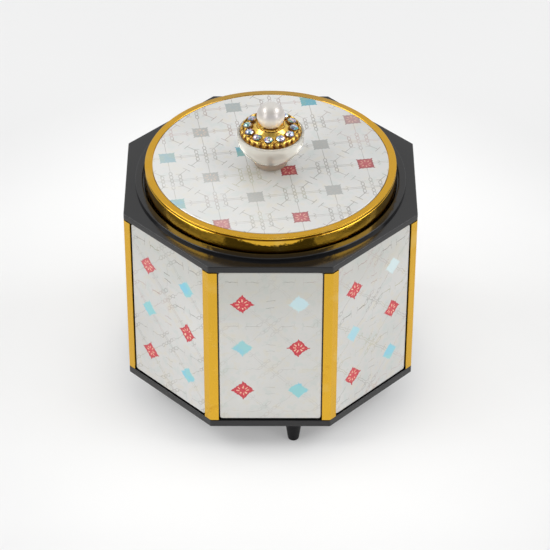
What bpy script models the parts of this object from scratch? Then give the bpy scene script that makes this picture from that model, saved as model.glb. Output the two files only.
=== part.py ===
"""A musical powder box: an eight-sided black case with foil panels and a round lift-off lid.

Metres, +Z up. The box stands on its feet, with the origin on the floor under its middle
and the front panel towards -Y. The lid is down.
"""

import math

import bmesh
import bpy
from mathutils import Matrix, Vector

# Case
SIDES = 8
ACROSS_FLATS = 0.1150
CASE_HEIGHT = 0.0807
BASE_THICKNESS = 0.0031
DECK_THICKNESS = 0.00275
DECK_BEVEL = 0.0003
WALL = 0.0020
GAP = 0.0003

# Feet
FOOT_COUNT = 3
FOOT_HEIGHT = 0.0116
FOOT_INSET = 0.0054
FOOT_TURN = math.radians(10.3)
FOOT_TOP_RADIUS = 0.0037
FOOT_TIP_RADIUS = 0.0023
FOOT_ROUNDING = 0.0010

# Corner strips and panels
STRIP_WING = 0.0033
STRIP_THICKNESS = 0.0005
STRIP_OVERHANG = 0.0002
PANEL_THICKNESS = 0.0010
PANEL_SET_BACK = 0.0005
PANEL_SIDE_GAP = 0.0006
PANEL_LIFT = 0.0008
PANEL_CORNER = 0.0011
PANEL_BEVEL = 0.00025

# Lid and the raised ring round it
LID_RADIUS = 0.0503
LID_HEIGHT = 0.0083
LID_WALL = 0.0012
LID_TOP_THICKNESS = 0.0014
LID_DRAFT = 0.0008
LID_FLANGE_RADIUS = 0.0498
LID_FLANGE_HEIGHT = 0.0010
LID_GROOVE_DEPTH = 0.0004
LID_GROOVE_HEIGHT = 0.0005
LID_RIM_WIDTH = 0.0028
LID_CLEARANCE = 0.0005
LID_PLATE_THICKNESS = 0.0007
LID_PLATE_BEVEL = 0.0001
SEAT_DEPTH = 0.0005
SEAT_WIDTH = 0.0033
RING_WIDTH = 0.0029
RING_RISE = 0.00135
RING_ROUNDING = 0.0005
RING_INNER_BEVEL = 0.0003

# Clear body of the knob
KNOB_HEIGHT = 0.0143
KNOB_NECK_RADIUS = 0.0067
KNOB_NECK_HEIGHT = 0.0026
KNOB_RIM_HEIGHT = 0.0024
KNOB_RIM_WIDTH = 0.0009
KNOB_ROUNDING = 0.0003
KNOB_RECESS = 0.0010
KNOB_BOWL_FULLNESS = 0.7

# Gold setting on the knob
SETTING_RADIUS = 0.01215
SETTING_BASE_RADIUS = 0.0118
SETTING_FLARE_HEIGHT = 0.0009
SETTING_WALL_HEIGHT = 0.0026
SETTING_LOBES = 24
SETTING_LOBE_DEPTH = 0.00018
CHANNEL_OUTER = 0.01095
CHANNEL_INNER = 0.0072
CHANNEL_LIP = 0.0004
CHANNEL_DEPTH = 0.0006
CHANNEL_SLOPE = math.radians(12)
WELL_RADIUS = 0.0062
WELL_RIM_HEIGHT = 0.0037
WELL_FLOOR_HEIGHT = 0.0026

# Rhinestones and pearl
STONE_COUNT = 12
STONE_TURN = math.radians(-5.4)
STONE_RADIUS = 0.00172
STONE_TABLE_RADIUS = 0.0009
STONE_BASE_RADIUS = 0.0012
STONE_BASE_HEIGHT = 0.00035
STONE_CROWN_HEIGHT = 0.0007
STONE_FACETS = 8
PEARL_RADIUS = 0.0055

# Fineness of the round pieces
LID_SEGMENTS = 72
KNOB_SEGMENTS = 48
SETTING_SEGMENTS = 72
FOOT_SEGMENTS = 20
PEARL_SEGMENTS = 28
PEARL_RINGS = 14
CORNER_STEPS = 2
BOWL_STEPS = 7

# Heights of what carries what
HALF_TURN_STEP = math.pi / SIDES
APOTHEM = ACROSS_FLATS / 2
FOOT_CIRCLE = APOTHEM - FOOT_INSET
BASE_TOP = FOOT_HEIGHT + BASE_THICKNESS
DECK_TOP = FOOT_HEIGHT + CASE_HEIGHT
DECK_BOTTOM = DECK_TOP - DECK_THICKNESS
SEAT_RADIUS = LID_RADIUS + LID_CLEARANCE
SEAT_HEIGHT = DECK_TOP - SEAT_DEPTH
LID_BOTTOM = SEAT_HEIGHT + GAP
LID_TOP = LID_BOTTOM + LID_HEIGHT
KNOB_BOTTOM = LID_TOP + GAP
KNOB_TOP = KNOB_BOTTOM + KNOB_HEIGHT
SETTING_BOTTOM = KNOB_TOP - KNOB_RECESS + GAP

# What fits beside what
STRIP_EDGE = APOTHEM * math.tan(HALF_TURN_STEP) - STRIP_WING
POST_APOTHEM = APOTHEM - STRIP_THICKNESS - GAP
BAY_HALF_WIDTH = STRIP_EDGE + STRIP_OVERHANG
PANEL_HALF_WIDTH = STRIP_EDGE - PANEL_SIDE_GAP
PANEL_FRONT = APOTHEM - PANEL_SET_BACK
BAY_APOTHEM = PANEL_FRONT - PANEL_THICKNESS - GAP
RECESS_RADIUS = LID_FLANGE_RADIUS - LID_RIM_WIDTH


def clear_scene():
    for item in list(bpy.data.objects):
        bpy.data.objects.remove(item)


def new_collection(name):
    made = bpy.data.collections.new(name)
    bpy.context.scene.collection.children.link(made)
    return made


def finish(name, colour, roughness, metallic=0.0, clear=0.0):
    """A Principled material. The colour is linear, and clear is how much light goes through."""
    made = bpy.data.materials.new(name)
    made.use_nodes = True
    shader = made.node_tree.nodes["Principled BSDF"]
    shader.inputs["Base Color"].default_value = (*colour, 1.0)
    shader.inputs["Roughness"].default_value = roughness
    shader.inputs["Metallic"].default_value = metallic
    shader.inputs["Transmission Weight"].default_value = clear
    return made


def add(name, mesh, look, group):
    solid = bpy.data.objects.new(name, mesh)
    group.objects.link(solid)
    mesh.materials.clear()
    mesh.materials.append(look)
    return solid


def frozen(solid, name=None):
    """The object's shape with its modifiers made real, as a new mesh."""
    depsgraph = bpy.context.evaluated_depsgraph_get()
    mesh = bpy.data.meshes.new_from_object(solid.evaluated_get(depsgraph))
    mesh.name = name or solid.name
    return mesh


def turned(name, profile, segments, look, group):
    """Turns (radius, height) points about Z, from the axis over the top, down and back to it."""
    mesh = bpy.data.meshes.new(name)
    edges = [(i, i + 1) for i in range(len(profile) - 1)]
    mesh.from_pydata([(radius, 0, height) for radius, height in profile], edges, [])
    solid = add(name, mesh, look, group)
    screw = solid.modifiers.new("Turn", "SCREW")
    screw.steps = segments
    screw.render_steps = segments
    screw.use_merge_vertices = True
    screw.merge_threshold = 0.00001
    screw.use_smooth_shade = False
    return solid


def prism(name, outlines, low, high, look, group):
    """Extrudes flat outlines, holes among them, from one height to another, as a welded mesh."""
    curve = bpy.data.curves.new(name, "CURVE")
    curve.dimensions = "2D"
    curve.fill_mode = "BOTH"
    curve.extrude = (high - low) / 2
    for outline in outlines:
        spline = curve.splines.new("POLY")
        spline.points.add(len(outline) - 1)
        for point, (x, y) in zip(spline.points, outline):
            point.co = (x, y, 0, 1)
        spline.use_cyclic_u = True
    flat = bpy.data.objects.new(name + "_outline", curve)
    group.objects.link(flat)
    mesh = frozen(flat, name)
    bpy.data.objects.remove(flat)
    work = bmesh.new()
    work.from_mesh(mesh)
    bmesh.ops.remove_doubles(work, verts=work.verts, dist=0.00001)
    bmesh.ops.recalc_face_normals(work, faces=work.faces)
    bmesh.ops.translate(work, verts=work.verts, vec=(0, 0, (low + high) / 2))
    work.to_mesh(mesh)
    work.free()
    return add(name, mesh, look, group)


def bevelled(solid, width, segments=1):
    bevel = solid.modifiers.new("Edges", "BEVEL")
    bevel.width = width
    bevel.segments = segments
    bevel.limit_method = "ANGLE"
    bevel.angle_limit = math.radians(60)
    return solid


def boolean(solid, other, operation):
    cut = solid.modifiers.new(other.name, "BOOLEAN")
    cut.object = other
    cut.operation = operation
    cut.solver = "EXACT"


def hidden_tool(solid):
    solid.hide_render = True
    solid.display_type = "WIRE"
    return solid


def on_face(index, along, out):
    """The plan position of a point on one side of the box, along the side and out from the middle."""
    turn = index * 2 * HALF_TURN_STEP
    x = along * math.cos(turn) + out * math.sin(turn)
    y = along * math.sin(turn) - out * math.cos(turn)
    return x, y


def octagon(apothem):
    corner = apothem * math.tan(HALF_TURN_STEP)
    return [on_face(i, corner, apothem) for i in range(SIDES)]


def case_outline():
    """The walls from above: a post behind each corner strip and a shallow bay behind each panel."""
    corner = POST_APOTHEM * math.tan(HALF_TURN_STEP)
    points = []
    for i in range(SIDES):
        points.append(on_face(i, -BAY_HALF_WIDTH, POST_APOTHEM))
        points.append(on_face(i, -BAY_HALF_WIDTH, BAY_APOTHEM))
        points.append(on_face(i, BAY_HALF_WIDTH, BAY_APOTHEM))
        points.append(on_face(i, BAY_HALF_WIDTH, POST_APOTHEM))
        points.append(on_face(i, corner, POST_APOTHEM))
    return points


def make_case(black, parts, tools):
    """The moulded case: walls, deck, raised ring and the ledge that the lid rests on."""
    overlap = DECK_THICKNESS / 2
    walls = [case_outline(), octagon(BAY_APOTHEM - WALL)]
    case = prism("case_shell", walls, BASE_TOP + GAP, DECK_BOTTOM + overlap, black, parts)

    deck = prism("deck_blank", [octagon(APOTHEM)], DECK_BOTTOM, DECK_TOP, black, tools)
    bevelled(hidden_tool(deck), DECK_BEVEL)
    boolean(case, deck, "UNION")

    ring_radius = SEAT_RADIUS + RING_WIDTH
    ring_top = DECK_TOP + RING_RISE
    profile = [(0, ring_top), (ring_radius - RING_ROUNDING, ring_top)]
    for step in (1, 2, 3):
        angle = math.radians(90 - 30 * step)
        out = ring_radius - RING_ROUNDING + RING_ROUNDING * math.cos(angle)
        profile.append((out, ring_top - RING_ROUNDING + RING_ROUNDING * math.sin(angle)))
    profile += [(ring_radius, DECK_TOP - overlap), (0, DECK_TOP - overlap)]
    ring = hidden_tool(turned("ring_blank", profile, LID_SEGMENTS, black, tools))
    boolean(case, ring, "UNION")

    mouth = SEAT_RADIUS - SEAT_WIDTH
    above = ring_top + RING_ROUNDING
    below = DECK_BOTTOM - overlap
    profile = [
        (0, above),
        (SEAT_RADIUS + RING_INNER_BEVEL + RING_ROUNDING, above),
        (SEAT_RADIUS, ring_top - RING_INNER_BEVEL),
        (SEAT_RADIUS, SEAT_HEIGHT),
        (mouth, SEAT_HEIGHT),
        (mouth, below),
        (0, below),
    ]
    opening = hidden_tool(turned("opening_cutter", profile, LID_SEGMENTS, black, tools))
    boolean(case, opening, "DIFFERENCE")


def make_base(black, parts):
    base = prism("base_plate", [octagon(APOTHEM)], FOOT_HEIGHT, BASE_TOP, black, parts)
    bevelled(base, DECK_BEVEL)


def make_feet(black, parts):
    top = FOOT_HEIGHT - GAP
    profile = [(0, top), (FOOT_TOP_RADIUS, top)]
    for angle in (0, 30, 60, 90):
        turn = math.radians(angle)
        radius = FOOT_TIP_RADIUS - FOOT_ROUNDING + FOOT_ROUNDING * math.cos(turn)
        profile.append((radius, FOOT_ROUNDING - FOOT_ROUNDING * math.sin(turn)))
    profile.append((0, 0))
    for i in range(FOOT_COUNT):
        turn = FOOT_TURN + i * 2 * math.pi / FOOT_COUNT
        foot = turned(f"foot_{i + 1}", profile, FOOT_SEGMENTS, black, parts)
        foot.location = (FOOT_CIRCLE * math.sin(turn), -FOOT_CIRCLE * math.cos(turn), 0)


def panel_outline(half_width, low, high):
    """A rectangle with rounded corners, standing in X and Y."""
    points = []
    middles = (
        (half_width - PANEL_CORNER, high - PANEL_CORNER, 0),
        (PANEL_CORNER - half_width, high - PANEL_CORNER, 90),
        (PANEL_CORNER - half_width, low + PANEL_CORNER, 180),
        (half_width - PANEL_CORNER, low + PANEL_CORNER, 270),
    )
    for x, y, start in middles:
        for step in range(CORNER_STEPS + 1):
            turn = math.radians(start + 90 * step / CORNER_STEPS)
            points.append((x + PANEL_CORNER * math.cos(turn), y + PANEL_CORNER * math.sin(turn)))
    return points


def make_panels(foil, parts, tools):
    """One plate is made lying down, stood up at the front, and copied round the case."""
    outline = panel_outline(PANEL_HALF_WIDTH, BASE_TOP + PANEL_LIFT, DECK_BOTTOM - GAP)
    half = PANEL_THICKNESS / 2
    plate = bevelled(prism("panel_blank", [outline], -half, half, foil, tools), PANEL_BEVEL)
    mesh = frozen(hidden_tool(plate), "panel")
    mesh.transform(Matrix.Rotation(math.radians(90), 4, "X"))
    mesh.transform(Matrix.Translation(Vector((0, half - PANEL_FRONT, 0))))
    for i in range(SIDES):
        panel = add(f"panel_{i + 1}", mesh, foil, parts)
        panel.rotation_euler.z = i * 2 * HALF_TURN_STEP


def strip_outline():
    """The bent strip from above, at the corner between the front and the side to its right."""
    inner = APOTHEM - STRIP_THICKNESS
    corner = APOTHEM * math.tan(HALF_TURN_STEP)
    inner_corner = inner * math.tan(HALF_TURN_STEP)
    return [
        on_face(0, STRIP_EDGE, APOTHEM),
        on_face(0, corner - STRIP_THICKNESS, APOTHEM),
        on_face(1, STRIP_THICKNESS - corner, APOTHEM),
        on_face(1, -STRIP_EDGE, APOTHEM),
        on_face(1, -STRIP_EDGE, inner),
        on_face(0, inner_corner, inner),
        on_face(0, STRIP_EDGE, inner),
    ]


def make_strips(gold, parts):
    low = BASE_TOP + GAP
    high = DECK_BOTTOM - GAP
    first = prism("corner_strip_1", [strip_outline()], low, high, gold, parts)
    for i in range(1, SIDES):
        strip = add(f"corner_strip_{i + 1}", first.data, gold, parts)
        strip.rotation_euler.z = i * 2 * HALF_TURN_STEP


def make_lid(gold, foil, parts):
    """A shallow cup upside down, with a flat rim round the printed disc let into its top."""
    recess = LID_TOP - LID_PLATE_THICKNESS - GAP
    underside = recess - LID_TOP_THICKNESS
    flange_low = LID_TOP - LID_FLANGE_HEIGHT
    groove = LID_FLANGE_RADIUS - LID_GROOVE_DEPTH
    round_off = LID_FLANGE_HEIGHT / 4
    profile = [
        (0, recess),
        (RECESS_RADIUS, recess),
        (RECESS_RADIUS, LID_TOP),
        (LID_FLANGE_RADIUS - round_off, LID_TOP),
        (LID_FLANGE_RADIUS, LID_TOP - round_off),
        (LID_FLANGE_RADIUS, flange_low + round_off),
        (groove, flange_low),
        (groove, flange_low - LID_GROOVE_HEIGHT),
        (LID_RADIUS - LID_DRAFT, flange_low - 2 * LID_GROOVE_HEIGHT),
        (LID_RADIUS, SEAT_HEIGHT + SEAT_DEPTH + RING_RISE),
        (LID_RADIUS, LID_BOTTOM),
        (LID_RADIUS - LID_WALL, LID_BOTTOM),
        (LID_RADIUS - LID_DRAFT - LID_WALL, underside),
        (0, underside),
    ]
    turned("lid_cap", profile, LID_SEGMENTS, gold, parts)

    radius = RECESS_RADIUS - GAP
    bottom = LID_TOP - LID_PLATE_THICKNESS
    profile = [
        (0, LID_TOP),
        (radius - LID_PLATE_BEVEL, LID_TOP),
        (radius, LID_TOP - LID_PLATE_BEVEL),
        (radius, bottom),
        (0, bottom),
    ]
    turned("lid_plate", profile, LID_SEGMENTS, foil, parts)


def make_knob(clear, parts):
    """A clear goblet: a short neck, a full bowl and a thin rim round the recess for the setting."""
    recess_radius = SETTING_BASE_RADIUS + LID_CLEARANCE
    rim = recess_radius + KNOB_RIM_WIDTH
    recess = KNOB_TOP - KNOB_RECESS
    neck_top = KNOB_BOTTOM + KNOB_NECK_HEIGHT
    bowl_top = KNOB_TOP - KNOB_RIM_HEIGHT
    profile = [
        (0, recess),
        (recess_radius, recess),
        (recess_radius, KNOB_TOP),
        (rim - KNOB_ROUNDING, KNOB_TOP),
        (rim, KNOB_TOP - KNOB_ROUNDING),
    ]
    for step in range(BOWL_STEPS, -1, -1):
        share = step / BOWL_STEPS
        swell = math.sin(share * math.pi / 2) ** KNOB_BOWL_FULLNESS
        height = neck_top + (bowl_top - neck_top) * share
        profile.append((KNOB_NECK_RADIUS + (rim - KNOB_NECK_RADIUS) * swell, height))
    profile += [
        (KNOB_NECK_RADIUS, KNOB_BOTTOM + KNOB_ROUNDING),
        (KNOB_NECK_RADIUS - KNOB_ROUNDING, KNOB_BOTTOM),
        (0, KNOB_BOTTOM),
    ]
    turned("knob_stem", profile, KNOB_SEGMENTS, clear, parts)


def channel_floor(radius):
    """The height of the sloping floor that the stones lie on, at a distance from the middle."""
    outer = SETTING_BOTTOM + SETTING_WALL_HEIGHT - CHANNEL_DEPTH
    return outer + (CHANNEL_OUTER - radius) * math.tan(CHANNEL_SLOPE)


def make_setting(gold, parts, tools):
    """A shallow crown: a lobed wall, a channel for the stones and a well for the pearl."""
    flare = SETTING_BOTTOM + SETTING_FLARE_HEIGHT
    wall_top = SETTING_BOTTOM + SETTING_WALL_HEIGHT
    well_rim = SETTING_BOTTOM + WELL_RIM_HEIGHT
    well_floor = SETTING_BOTTOM + WELL_FLOOR_HEIGHT
    profile = [
        (0, well_floor),
        (WELL_RADIUS - CHANNEL_LIP, well_floor),
        (WELL_RADIUS, well_rim),
        (WELL_RADIUS + CHANNEL_LIP, well_rim),
        (CHANNEL_INNER, well_rim - CHANNEL_LIP),
        (CHANNEL_INNER, channel_floor(CHANNEL_INNER)),
        (CHANNEL_OUTER, channel_floor(CHANNEL_OUTER)),
        (CHANNEL_OUTER, wall_top),
        (CHANNEL_OUTER + CHANNEL_LIP, wall_top),
        (SETTING_RADIUS, flare),
        (SETTING_BASE_RADIUS, flare - CHANNEL_LIP),
        (SETTING_BASE_RADIUS, SETTING_BOTTOM),
        (0, SETTING_BOTTOM),
    ]
    blank = turned("setting_blank", profile, SETTING_SEGMENTS, gold, tools)
    mesh = frozen(hidden_tool(blank), "knob_setting")
    for vertex in mesh.vertices:
        radius = math.hypot(vertex.co.x, vertex.co.y)
        if radius > CHANNEL_OUTER + CHANNEL_LIP / 2 and vertex.co.z > flare - CHANNEL_LIP / 2:
            turn = math.atan2(vertex.co.y, vertex.co.x)
            scale = 1 - SETTING_LOBE_DEPTH * (1 - math.cos(SETTING_LOBES * turn)) / radius
            vertex.co.x *= scale
            vertex.co.y *= scale
    add("knob_setting", mesh, gold, parts)


def make_stones(crystal, parts, tools):
    """Cut stones in a ring, each leaning outwards with the floor of the channel."""
    top = STONE_BASE_HEIGHT + STONE_CROWN_HEIGHT
    profile = [
        (0, top),
        (STONE_TABLE_RADIUS, top),
        (STONE_RADIUS, STONE_BASE_HEIGHT),
        (STONE_BASE_RADIUS, 0),
        (0, 0),
    ]
    blank = turned("stone_blank", profile, STONE_FACETS, crystal, tools)
    mesh = frozen(hidden_tool(blank), "rhinestone")
    ring = (CHANNEL_INNER + CHANNEL_OUTER) / 2
    lift = GAP / math.cos(CHANNEL_SLOPE)
    for i in range(STONE_COUNT):
        turn = STONE_TURN + i * 2 * math.pi / STONE_COUNT
        stone = add(f"rhinestone_{i + 1}", mesh, crystal, parts)
        stone.location = (ring * math.sin(turn), -ring * math.cos(turn), channel_floor(ring) + lift)
        stone.rotation_euler = (CHANNEL_SLOPE, 0, turn)


def make_pearl(cream, parts):
    centre = SETTING_BOTTOM + WELL_FLOOR_HEIGHT + GAP + PEARL_RADIUS
    mesh = bpy.data.meshes.new("pearl")
    work = bmesh.new()
    bmesh.ops.create_uvsphere(
        work, u_segments=PEARL_SEGMENTS, v_segments=PEARL_RINGS, radius=PEARL_RADIUS
    )
    work.to_mesh(mesh)
    work.free()
    pearl = add("pearl", mesh, cream, parts)
    pearl.location.z = centre


def shade_smooth(parts):
    for solid in parts.objects:
        solid.data.shade_smooth()
        solid.data.set_sharp_from_angle(angle=math.radians(30))


def main():
    clear_scene()
    parts = new_collection("musical_powder_box")
    tools = new_collection("cutters")
    black = finish("black_plastic", (0.012, 0.012, 0.014), 0.12)
    gold = finish("gold_metal", (0.76, 0.46, 0.09), 0.22, metallic=1.0)
    foil = finish("printed_foil", (0.78, 0.78, 0.77), 0.30, metallic=0.6)
    clear = finish("clear_acrylic", (0.97, 0.97, 0.95), 0.03, clear=1.0)
    crystal = finish("cut_crystal", (0.92, 0.94, 0.98), 0.02, clear=0.6)
    cream = finish("imitation_pearl", (0.86, 0.80, 0.72), 0.18)
    make_case(black, parts, tools)
    make_base(black, parts)
    make_feet(black, parts)
    make_panels(foil, parts, tools)
    make_strips(gold, parts)
    make_lid(gold, foil, parts)
    make_knob(clear, parts)
    make_setting(gold, parts, tools)
    make_stones(crystal, parts, tools)
    make_pearl(cream, parts)
    shade_smooth(parts)


main()
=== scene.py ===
"""The looks of an eight-sided musical powder box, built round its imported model. Everything is in metres."""

import math

import bpy
from mathutils import Euler, Matrix, Vector


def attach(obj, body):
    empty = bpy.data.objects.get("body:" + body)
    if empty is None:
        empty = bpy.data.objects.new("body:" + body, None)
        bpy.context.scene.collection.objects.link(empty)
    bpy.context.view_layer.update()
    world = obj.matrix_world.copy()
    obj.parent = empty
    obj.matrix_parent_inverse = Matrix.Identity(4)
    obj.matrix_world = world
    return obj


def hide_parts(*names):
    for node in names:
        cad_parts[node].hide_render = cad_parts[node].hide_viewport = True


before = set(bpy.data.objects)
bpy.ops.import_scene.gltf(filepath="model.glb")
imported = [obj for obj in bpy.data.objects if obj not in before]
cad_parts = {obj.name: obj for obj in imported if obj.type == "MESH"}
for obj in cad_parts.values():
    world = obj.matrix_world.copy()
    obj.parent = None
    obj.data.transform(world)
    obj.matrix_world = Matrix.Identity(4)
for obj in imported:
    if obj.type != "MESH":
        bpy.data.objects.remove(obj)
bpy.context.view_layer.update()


# Camera: a long lens on a stand, looking down on the box from the front and from about nine box
# widths away, so that the eight sides hardly narrow towards the back.
LENS = 173.47
SENSOR = 36.0
LOOK_AT = Vector((0.00184, 0.0, 0.04321))
DISTANCE = 1.08334
DOWN = math.radians(38.352)
ASIDE = math.radians(-0.159)
ROLL = math.radians(0.1735)

bpy.ops.object.select_all(action="DESELECT")
bpy.ops.object.camera_add()
camera = bpy.context.object
camera.name = "camera"
camera.data.lens = LENS
camera.data.sensor_width = SENSOR
aim = Euler((math.pi / 2 - DOWN, 0.0, ASIDE)).to_matrix().to_4x4()
camera.matrix_world = (
    Matrix.Translation(LOOK_AT + aim @ Vector((0.0, 0.0, DISTANCE))) @ aim @ Matrix.Rotation(ROLL, 4, "Z")
)
bpy.context.scene.camera = camera
bpy.context.scene.view_settings.view_transform = "Standard"


# Table and light: a white table that glows a little, a painted light, before a white backdrop in a dim
# room, with a low soft box at each side of the camera and a higher one at each side of the box. Nothing here
# belongs to the box.
BACKDROP = (0.86, 0.865, 0.87, 1.0)
ROOM_LOW = (0.62, 0.62, 0.625, 1.0)
ROOM_HIGH = (0.32, 0.32, 0.325, 1.0)
BACKDROP_FADE = (-0.45, 0.35)
ROOM_FADE = (0.52, 0.68)
TABLE_WHITE = (0.70, 0.70, 0.695, 1.0)
TABLE_PAINTED_SHADE_GREY = (0.56, 0.56, 0.558, 1.0)
TABLE_GLOW = 0.21
TABLE_RADIUS = 4.0
TABLE_FADE = (0.09, 0.20)
TABLE_FADE_BACK = 0.025
SOFT_BOX_DISTANCE = 1.7
# Degrees aside, degrees up, width, height, watts
SOFT_BOXES = ((52, 19, 0.62, 0.98, 6.2), (86, 45, 1.10, 0.58, 9.8))


class Ink:
    """A socket of a finish. An expression on these adds its Math nodes, so 1 - line is a node too."""

    def __init__(self, tree, socket):
        self.tree = tree
        self.socket = socket

    def node(self, kind, settings, sockets, output=0):
        """A node of any kind, with its settings first and then the values or links of its sockets."""
        made = self.tree.nodes.new(kind)
        for name, value in settings.items():
            if name == "stops":
                ramp = made.color_ramp
                while len(ramp.elements) < len(value):
                    ramp.elements.new(0.5)
                for element, (place, colour) in zip(ramp.elements, value):
                    element.position = place
                    element.color = colour
            else:
                setattr(made, name, value)
        for name, value in sockets.items():
            if isinstance(value, Ink):
                self.tree.links.new(value.socket, made.inputs[name])
            else:
                made.inputs[name].default_value = value
        return Ink(self.tree, made.outputs[output])

    def other(self, name):
        """Another output of the same node."""
        return Ink(self.tree, self.socket.node.outputs[name])

    def xyz(self):
        """The three numbers of a place."""
        first = self.node("ShaderNodeSeparateXYZ", {}, {0: self})
        return first, first.other("Y"), first.other("Z")

    def vector(self, operation, other):
        """Vector maths on a place, where SCALE takes one number."""
        second = "Scale" if operation == "SCALE" else 1
        return self.node("ShaderNodeVectorMath", {"operation": operation}, {0: self, second: other})

    def sum(self, operation, *values):
        """A Math node on exactly these values."""
        return self.node("ShaderNodeMath", {"operation": operation}, dict(enumerate(values)))

    def larger(self, other):
        return self.sum("MAXIMUM", self, other)

    def smaller(self, other):
        return self.sum("MINIMUM", self, other)

    def floor(self):
        return self.sum("FLOOR", self)

    def __add__(self, other):
        return self.sum("ADD", self, other)

    __radd__ = __add__

    def __mul__(self, other):
        return self.sum("MULTIPLY", self, other)

    __rmul__ = __mul__

    def __sub__(self, other):
        return self.sum("SUBTRACT", self, other)

    def __rsub__(self, other):
        return self.sum("SUBTRACT", other, self)

    def __truediv__(self, other):
        return self.sum("DIVIDE", self, other)

    def __pow__(self, other):
        return self.sum("POWER", self, other)

    def __mod__(self, other):
        return self.sum("FLOORED_MODULO", self, other)

    def __abs__(self):
        return self.sum("ABSOLUTE", self)

    def __gt__(self, other):
        return self.sum("GREATER_THAN", self, other)

    def __lt__(self, other):
        return self.sum("LESS_THAN", self, other)

    def fade(self, none, full):
        """0 where this is at none and 1 where it is at full, with a soft step between."""
        settings = {"interpolation_type": "SMOOTHSTEP"}
        return self.node("ShaderNodeMapRange", settings, {0: self, 1: none, 2: full})

    def mix(self, first, second):
        """The first colour where this is 0 and the second where it is 1."""
        settings = {"data_type": "RGBA", "clamp_factor": True}
        return self.node("ShaderNodeMix", settings, {0: self, 6: first, 7: second}, 2)

    def cloud(self, scale, detail=2.0, stretch=(1.0, 1.0, 1.0), shift=(0.0, 0.0, 0.0)):
        """Soft noise from 0 to 1 on this place, scale in spots to a metre."""
        place = self.node("ShaderNodeMapping", {}, {0: self, "Scale": stretch, "Location": shift})
        return self.node("ShaderNodeTexNoise", {}, {"Vector": place, "Scale": scale, "Detail": detail})


def new_finish(name, place="Object"):
    """An empty finish, its place on the piece as the piece's own Ink, and its Principled shader."""
    made = bpy.data.materials.new(name)
    made.use_nodes = True
    tree = made.node_tree
    tree.nodes.clear()
    shader = tree.nodes.new("ShaderNodeBsdfPrincipled")
    output = tree.nodes.new("ShaderNodeOutputMaterial")
    tree.links.new(shader.outputs[0], output.inputs["Surface"])
    if place == "Object":
        socket = tree.nodes.new("ShaderNodeTexCoord").outputs["Object"]
    else:
        socket = tree.nodes.new("ShaderNodeUVMap").outputs["UV"]
    return made, Ink(tree, socket), shader


def wear(finish, shader, **looks):
    """Sets or links the shader's sockets, with underscores for the spaces in their names."""
    for name, value in looks.items():
        socket = shader.inputs[name.replace("_", " ")]
        if isinstance(value, Ink):
            finish.node_tree.links.new(value.socket, socket)
        else:
            socket.default_value = value


world = bpy.data.worlds.new("backdrop_and_room")
bpy.context.scene.world = world
world.use_nodes = True
looking = Ink(world.node_tree, world.node_tree.nodes.new("ShaderNodeTexCoord").outputs["Generated"])
_, behind, overhead = looking.xyz()
room = overhead.fade(*ROOM_FADE).mix(ROOM_LOW, ROOM_HIGH)
surround = behind.fade(*BACKDROP_FADE).mix(room, BACKDROP)
world.node_tree.links.new(surround.socket, world.node_tree.nodes["Background"].inputs["Color"])

for number, (aside, up, wide, high, power) in enumerate(SOFT_BOXES):
    for side in (-1, 1):
        turn = math.radians(side * aside)
        lift = math.radians(up)
        towards = Vector((math.sin(turn) * math.cos(lift), -math.cos(turn) * math.cos(lift), math.sin(lift)))
        bpy.ops.object.light_add(type="AREA", location=towards * SOFT_BOX_DISTANCE + LOOK_AT)
        soft_box = bpy.context.object
        soft_box.name = "soft_box_%d_%s" % (number + 1, "left" if side < 0 else "right")
        soft_box.rotation_euler = towards.to_track_quat("Z", "Y").to_euler()
        soft_box.data.shape = "RECTANGLE"
        soft_box.data.size = wide
        soft_box.data.size_y = high
        soft_box.data.energy = power
        soft_box.visible_camera = False

table_finish, place, shader = new_finish("table_white")
across, back, _ = place.xyz()
# Painted shade: the table greys away from the box, with a little random tone.
from_box = (across ** 2.0 + (back - TABLE_FADE_BACK) ** 2.0) ** 0.5
painted_falloff = (from_box.fade(*TABLE_FADE) + 0.1 * place.cloud(30.0)).mix(TABLE_WHITE, TABLE_PAINTED_SHADE_GREY)
wear(table_finish, shader, Base_Color=painted_falloff, Roughness=0.75, Specular_IOR_Level=0.2)
# The glow is painted light: it lifts the shadows under and round the box.
wear(table_finish, shader, Emission_Color=(1.0, 1.0, 1.0, 1.0), Emission_Strength=TABLE_GLOW)
bpy.ops.object.select_all(action="DESELECT")
bpy.ops.mesh.primitive_circle_add(vertices=96, radius=TABLE_RADIUS, fill_type="NGON")
table = bpy.context.object
table.name = "table"
table.data.materials.append(table_finish)


# Case: one black plastic moulding, eight walls with a shallow bay behind each panel, a flat deck on
# top with bevelled edges, and a raised ring round the ledge that the lid rests on.
FACE = math.pi / 8
HALF_ACROSS = 0.0575
FLOOR_OF_BOX = 0.0150
DECK_LOW = 0.08955
DECK_TOP = 0.0923
EDGE_ROUNDING = 0.00035
POST_OUT = 0.0567
BAY_OUT = 0.0557
BAY_HALF_WIDTH = 0.02072
BAY_CUT = 0.004
WALL_IN = 0.0537
RING_OUTER = 0.0537
RING_TOP = 0.09365
RING_INNER = 0.0508
LEDGE = 0.0918
MOUTH = 0.0475
RING_ROOT = 0.0010
RING_ROUNDING = 0.0003
RING_CHAMFER = (0.0006, 0.0004)
MOUTH_EDGE = 0.0002
MOUTH_CUT_LOW = 0.082
WALL_OVERLAP = 0.0012
CUTTER_TOP = 0.2
ROUND_STEPS = 180
BLACK = (0.0065, 0.0065, 0.0072, 1.0)
BLACK_DUSTY = (0.016, 0.016, 0.017, 1.0)


def all_off():
    """Leaves edit mode and clears the selection, because an operator acts on all that is selected."""
    if bpy.context.object and bpy.context.object.mode == "EDIT":
        bpy.ops.object.mode_set(mode="OBJECT")
    bpy.ops.object.select_all(action="DESELECT")


def into_hand(piece):
    """Selects this piece alone and makes it the active one."""
    all_off()
    piece.select_set(True)
    bpy.context.view_layer.objects.active = piece


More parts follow.
